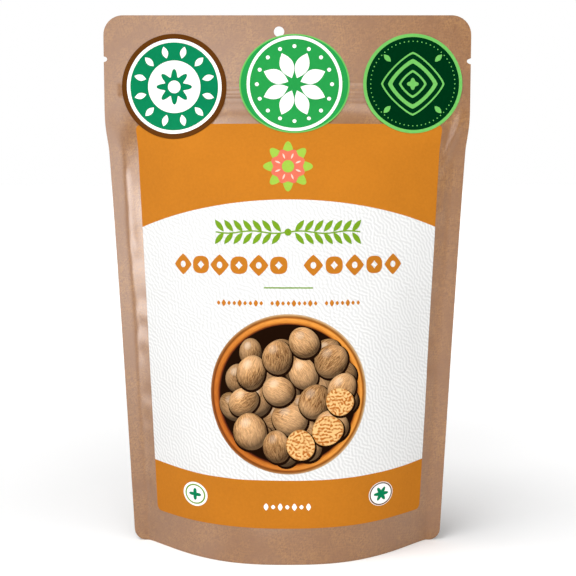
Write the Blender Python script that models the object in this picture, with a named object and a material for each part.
"""A filled kraft-paper stand-up pouch with a printed front label and three round stickers.

Metres, +Z up. The front faces -Y, and the pouch stands with the middle of its base at the origin.
Places on a panel are given by two numbers: how far across from the centre line along the flat
film, and how far down from the top edge of the standing pouch.
"""

import functools
import math

import bmesh
import bpy
import numpy as np

MM = 0.001

# The flat pouch, before it is filled
FLAT_HALF_WIDTH = 80 * MM
SIDE_SEAL = 6 * MM
SHEET = 0.8 * MM  # films welded face to face: the header, the side seals and the skirt
TOP_CORNER = 8.5 * MM
BOTTOM_CORNER = 3.3 * MM

# The filled pouch
HEIGHT = 234 * MM
BASE_HALF_DEPTH = 33.2 * MM
FLAT_HEADER = 35 * MM  # the films part below this
SWELL_POWER = 0.424
OPENING_SHARE = 0.12  # share of the filled height over which the films part
FULLNESS = 2.6
TAPER = 1.25

# Zipper ridge and the two dents at the shoulders
ZIPPER_DROP = 32.5 * MM
ZIPPER_WIDTH = 4.5 * MM
ZIPPER_RIDGE = 0.5 * MM
DENT_ACROSS = 66 * MM
DENT_DROP = 57 * MM
DENT_RADIUS = 9 * MM
DENT_DEPTH = 1.4 * MM

# The base gusset
SEAL_CENTRE = 5 * MM  # height of the weld between panel and gusset
SEAL_SIDE = 26 * MM
FOLD_SIDE = 28 * MM  # height of the gusset's middle fold at its tips
FLAT_SHARE = 0.42  # share of the half width over which the middle fold touches the floor
TAB_DEPTH = 2.5 * MM  # where the panels are nearer than this they are welded together
TAB_BLEND = 4 * MM

# Hang hole and tear notches
HOLE_ACROSS = -3.6 * MM
HOLE_DROP = 7 * MM
HOLE_RADIUS = 2.25 * MM
NOTCHES = {"left": (-1, 18.8 * MM, 1.5 * MM), "right": (1, 19.7 * MM, 1.75 * MM)}
NOTCH_HALF_HEIGHT = 1.15 * MM

# The label
LABEL_CENTRE = 0.8 * MM
LABEL_HALF_WIDTH = 67.3 * MM
LABEL_TOP_DROP = 47 * MM
LABEL_BOTTOM_DROP = HEIGHT - 15.6 * MM
LABEL_CORNER = 2.5 * MM
GAP = 0.3 * MM
SKIN = 0.3 * MM

# The stickers: centre across, centre drop, half width, half height
STICKERS = {
    "sticker_left": (-49.3 * MM, 30.9 * MM, 22.8 * MM, 22.8 * MM),
    "sticker_middle": (3.1 * MM, 29.9 * MM, 24.1 * MM, 21.6 * MM),
    "sticker_right": (54.7 * MM, 29.6 * MM, 21.6 * MM, 21.6 * MM),
}
LABEL_STEP = 3 * MM  # a sticker climbs onto the label over this stretch

PROBE = 0.2 * MM  # step for measuring the slope of the film
CURVE_STEPS = 160


def smooth_step(share):
    share = min(max(share, 0.0), 1.0)
    return share * share * (3 - 2 * share)


def swell_at(drop):
    """Half the distance between the panels on the centre line."""
    share = (drop - FLAT_HEADER) / (HEIGHT - FLAT_HEADER)
    if share <= 0:
        return 0.0
    return BASE_HALF_DEPTH * share**SWELL_POWER * smooth_step(share / OPENING_SHARE)


@functools.lru_cache(maxsize=None)
def cross_section(drop):
    """One panel seen from above at this drop: (arc length, across, depth) along one half.

    The depth is swell * (1 - share ** FULLNESS) ** TAPER, and the chord is found by halving
    until the arc is as long as half the flat film between the side seals.
    """
    film = FLAT_HALF_WIDTH - SIDE_SEAL
    share = np.linspace(0, 1, CURVE_STEPS)
    depth = swell_at(drop) * (1 - share**FULLNESS) ** TAPER
    low, high = 0.3 * film, film
    for _ in range(40):
        chord = (low + high) / 2
        arc = np.concatenate([[0], np.cumsum(np.hypot(np.diff(chord * share), np.diff(depth)))])
        if arc[-1] < film:
            low = chord
        else:
            high = chord
    return arc, chord * share, depth


def relief(flat, drop):
    """Low shapes pressed in the film: the zipper ridge, and a dent at each shoulder."""
    inside = smooth_step((FLAT_HALF_WIDTH - SIDE_SEAL - abs(flat)) / (2 * MM))
    ridge = ZIPPER_RIDGE * math.exp(-(((drop - ZIPPER_DROP) / (ZIPPER_WIDTH / 2)) ** 2))
    away = math.hypot(abs(flat) - DENT_ACROSS, drop - DENT_DROP) / DENT_RADIUS
    return inside * (ridge - DENT_DEPTH * math.exp(-((2 * away) ** 2)))


def film_point(flat, drop):
    """Across and depth of a panel's outer face, depth counted from the middle plane."""
    arc, across, depth = cross_section(round(drop, 6))
    reach = min(abs(flat), arc[-1])
    x = np.interp(reach, arc, across) + abs(flat) - reach
    y = np.interp(reach, arc, depth) + SHEET / 2
    return math.copysign(x, flat), max(y + relief(flat, drop), SHEET / 2)


def on_front(flat, drop, lift=0.0):
    """A point of the front panel, lifted off it along its normal."""
    x, y = film_point(flat, drop)
    here = np.array([x, -y, HEIGHT - drop])
    if not lift:
        return here
    sides = [film_point(flat + step, drop) for step in (-PROBE, PROBE)]
    rows = [film_point(flat, drop + step) for step in (-PROBE, PROBE)]
    along = np.array([sides[1][0] - sides[0][0], sides[0][1] - sides[1][1], 0])
    down = np.array([rows[1][0] - rows[0][0], rows[0][1] - rows[1][1], -2 * PROBE])
    normal = np.cross(down, along)
    return here - lift * normal / np.linalg.norm(normal) * math.copysign(1, normal[1])


def corner_steps(radius, turns=4):
    """Distances from a rounded end, closer together towards the end."""
    return [radius * (1 - math.cos(math.pi / 2 * k / turns)) for k in range(turns + 1)]


def corner_inset(distance, radius):
    """How far a round corner draws the edge in, at this distance from its end."""
    if distance >= radius:
        return 0.0
    return radius - math.sqrt(radius**2 - (radius - distance) ** 2)


def panel_rows():
    zipper = [ZIPPER_DROP + step * MM for step in (-5, -2.5, -1.2, 0, 1.2, 2.5, 5)]
    label_top = LABEL_TOP_DROP + LABEL_CORNER
    label_foot = LABEL_BOTTOM_DROP - LABEL_CORNER
    filled = list(np.linspace(label_top, label_foot, 15))
    foot = [HEIGHT - step for step in corner_steps(BOTTOM_CORNER, 2)]
    rows = corner_steps(TOP_CORNER) + [15 * MM, 22 * MM] + zipper + [42 * MM, LABEL_TOP_DROP]
    rows += filled + [filled[0] + 5 * MM, LABEL_BOTTOM_DROP, HEIGHT - 9 * MM] + foot
    return sorted(set(round(row, 6) for row in rows))


def panel_columns():
    middle = LABEL_CENTRE + np.linspace(-LABEL_HALF_WIDTH, LABEL_HALF_WIDTH, 21)
    seal = FLAT_HALF_WIDTH - SIDE_SEAL
    outer = [seal - 3 * MM, seal, seal + SIDE_SEAL / 2, FLAT_HALF_WIDTH]
    return sorted([-side for side in outer] + list(middle) + outer)


def edge_flat(flat, drop):
    """A column's place on a row, drawn in where the pouch's corners are round."""
    inset = corner_inset(drop, TOP_CORNER) + corner_inset(HEIGHT - drop, BOTTOM_CORNER)
    held = FLAT_HALF_WIDTH - 2 * TOP_CORNER
    if abs(flat) <= held:
        return flat
    share = (abs(flat) - held) / (FLAT_HALF_WIDTH - held)
    return math.copysign(abs(flat) - share * inset, flat)


def underside_points(flat):
    """Half of a column's underside, from the skirt's outer edge in to the middle fold."""
    flat = edge_flat(flat, HEIGHT)
    x, y = film_point(flat, HEIGHT)
    share = min(abs(flat) / (FLAT_HALF_WIDTH - SIDE_SEAL), 1)
    hollow = smooth_step((y - TAB_DEPTH) / TAB_BLEND)
    seal = hollow * (SEAL_CENTRE + (SEAL_SIDE - SEAL_CENTRE) * share**3)
    fold = hollow * FOLD_SIDE * smooth_step((share - FLAT_SHARE) / (1 - FLAT_SHARE))
    seal_x, seal_y = film_point(flat, HEIGHT - seal)
    inner = max(y - SHEET, 0.75 * y)
    seal_inner = max(seal_y - SHEET, 0.75 * seal_y)
    points = [(x, inner, 0), (seal_x, seal_inner, seal)]
    for away in (0.75, 0.5, 0.25, 0.0):
        droop = max(0.0, (away - 0.5) / 0.5) ** 2
        level = fold + (seal - fold) * (droop if fold < seal else away)
        points.append((x + (seal_x - x) * away, seal_inner * away, level))
    return points


def column_loop(flat, rows):
    """One closed slice of the pouch: down the front, across the underside, up the back."""
    front = [on_front(edge_flat(flat, drop), drop) for drop in rows]
    under = [np.array([x, -y, z]) for x, y, z in underside_points(flat)]
    turned = np.array([1, -1, 1])
    return front + under + [point * turned for point in (front + under[:-1])[::-1]]


def finish_material(name, colour, roughness):
    material = bpy.data.materials.new(name)
    material.use_nodes = True
    shader = material.node_tree.nodes["Principled BSDF"]
    shader.inputs["Base Color"].default_value = (*colour, 1)
    shader.inputs["Roughness"].default_value = roughness
    return material


def add_object(name, mesh_builder, material=None):
    mesh = bpy.data.meshes.new(name)
    mesh_builder.to_mesh(mesh)
    mesh_builder.free()
    made = bpy.data.objects.new(name, mesh)
    bpy.context.scene.collection.objects.link(made)
    if material:
        mesh.materials.append(material)
        mesh.shade_smooth()
    return made


def add_grid(builder, lines):
    """Faces between neighbouring lines of points."""
    grid = [[builder.verts.new(point) for point in line] for line in lines]
    for line, other in zip(grid, grid[1:]):
        for k in range(len(line) - 1):
            builder.faces.new((line[k], line[k + 1], other[k + 1], other[k]))
    return grid


def make_pouch():
    rows = panel_rows()
    builder = bmesh.new()
    loops = [column_loop(flat, rows) for flat in panel_columns()]
    grid = add_grid(builder, loops)
    for line, other in zip(grid, grid[1:]):  # the top edge
        builder.faces.new((line[-1], line[0], other[0], other[-1]))
    last = len(rows) - 2
    for line in (grid[0], grid[-1]):  # the two side edges, and their foot in one face
        for k in range(last):
            builder.faces.new((line[k], line[k + 1], line[-2 - k], line[-1 - k]))
        builder.faces.new(line[last : len(line) - last])
    bmesh.ops.recalc_face_normals(builder, faces=builder.faces)
    return add_object("pouch", builder, finish_material("kraft paper", (0.46, 0.29, 0.18), 0.75))


def make_label():
    top = [LABEL_TOP_DROP + step for step in corner_steps(LABEL_CORNER, 2)]
    foot = [LABEL_BOTTOM_DROP - step for step in corner_steps(LABEL_CORNER, 2)]
    inside = [row for row in panel_rows() if top[-1] < row < foot[-1]]
    builder = bmesh.new()
    lines = []
    for drop in top + inside + foot[::-1]:
        end = min(drop - LABEL_TOP_DROP, LABEL_BOTTOM_DROP - drop)
        reach = LABEL_HALF_WIDTH - corner_inset(end, LABEL_CORNER)
        places = LABEL_CENTRE + np.linspace(-1, 1, 21) * LABEL_HALF_WIDTH
        places = np.clip(places, LABEL_CENTRE - reach, LABEL_CENTRE + reach)
        lines.append([on_front(flat, drop, GAP) for flat in places])
    add_grid(builder, lines)
    label = add_object("label", builder, finish_material("label paper", (0.85, 0.84, 0.8), 0.5))
    thicken(label)
    return label


def sticker_lift(drop):
    """Clear of the film above the label, and clear of the label where it passes over it."""
    over = smooth_step((drop - LABEL_TOP_DROP + LABEL_STEP) / (LABEL_STEP - MM))
    bridge = ZIPPER_RIDGE * math.exp(-(((drop - ZIPPER_DROP) / (2 * ZIPPER_WIDTH)) ** 2))
    ridge = ZIPPER_RIDGE * math.exp(-(((drop - ZIPPER_DROP) / (ZIPPER_WIDTH / 2)) ** 2))
    return GAP + over * (SKIN + GAP) + bridge - ridge


def make_sticker(name, across, centre, half_width, half_height, colour):
    around = [centre - half_height * math.cos(math.pi * k / 16) for k in range(1, 16)]
    shared = [row for row in panel_rows() if abs(row - centre) < 0.95 * half_height]
    step = [LABEL_TOP_DROP - LABEL_STEP + k * MM for k in range(3)]
    drops = sorted(around + [row for row in shared + step if row < centre + 0.95 * half_height])
    drops = [a for a, b in zip(drops, drops[1:] + [math.inf]) if b - a > 0.4 * MM]
    builder = bmesh.new()
    lines = []
    for drop in drops:
        reach = half_width * math.sqrt(1 - ((drop - centre) / half_height) ** 2)
        places = across + reach * np.linspace(-1, 1, 9)
        lines.append([on_front(flat, drop, sticker_lift(drop)) for flat in places])
    add_grid(builder, lines)
    sticker = add_object(name, builder, finish_material(name, colour, 0.4))
    thicken(sticker)
    return sticker


def thicken(sheet):
    """Gives a sheet its thickness on the side that faces away from the pouch."""
    solidify = sheet.modifiers.new("thickness", "SOLIDIFY")
    solidify.thickness = SKIN
    solidify.offset = 1
    if sheet.data.polygons[0].normal.y > 0:
        sheet.data.flip_normals()


def cut_through(target, name, x, drop, half_width, half_height):
    """Cuts an oval right through the flat sheet of the pouch, along Y."""
    builder = bmesh.new()
    bmesh.ops.create_cone(
        builder, cap_ends=True, segments=24, radius1=1, radius2=1, depth=6 * SHEET
    )
    cutter = add_object(name, builder)
    cutter.rotation_euler = (math.pi / 2, 0, 0)
    cutter.scale = (half_width, half_height, 1)
    cutter.location = (x, 0, HEIGHT - drop)
    cutter.hide_render = True
    cutter.display_type = "WIRE"
    cut = target.modifiers.new(name, "BOOLEAN")
    cut.operation = "DIFFERENCE"
    cut.object = cutter


def main():
    for old in list(bpy.data.objects):
        bpy.data.objects.remove(old, do_unlink=True)
    pouch = make_pouch()
    cut_through(pouch, "hang_hole", HOLE_ACROSS, HOLE_DROP, HOLE_RADIUS, HOLE_RADIUS)
    for side, (sign, drop, depth) in NOTCHES.items():
        edge = sign * FLAT_HALF_WIDTH
        cut_through(pouch, "tear_notch_" + side, edge, drop, depth, NOTCH_HALF_HEIGHT)
    make_label()
    colours = ((0.16, 0.05, 0.01), (0.03, 0.38, 0.13), (0.01, 0.05, 0.03))
    for (name, place), colour in zip(STICKERS.items(), colours):
        make_sticker(name, *place, colour)


main()
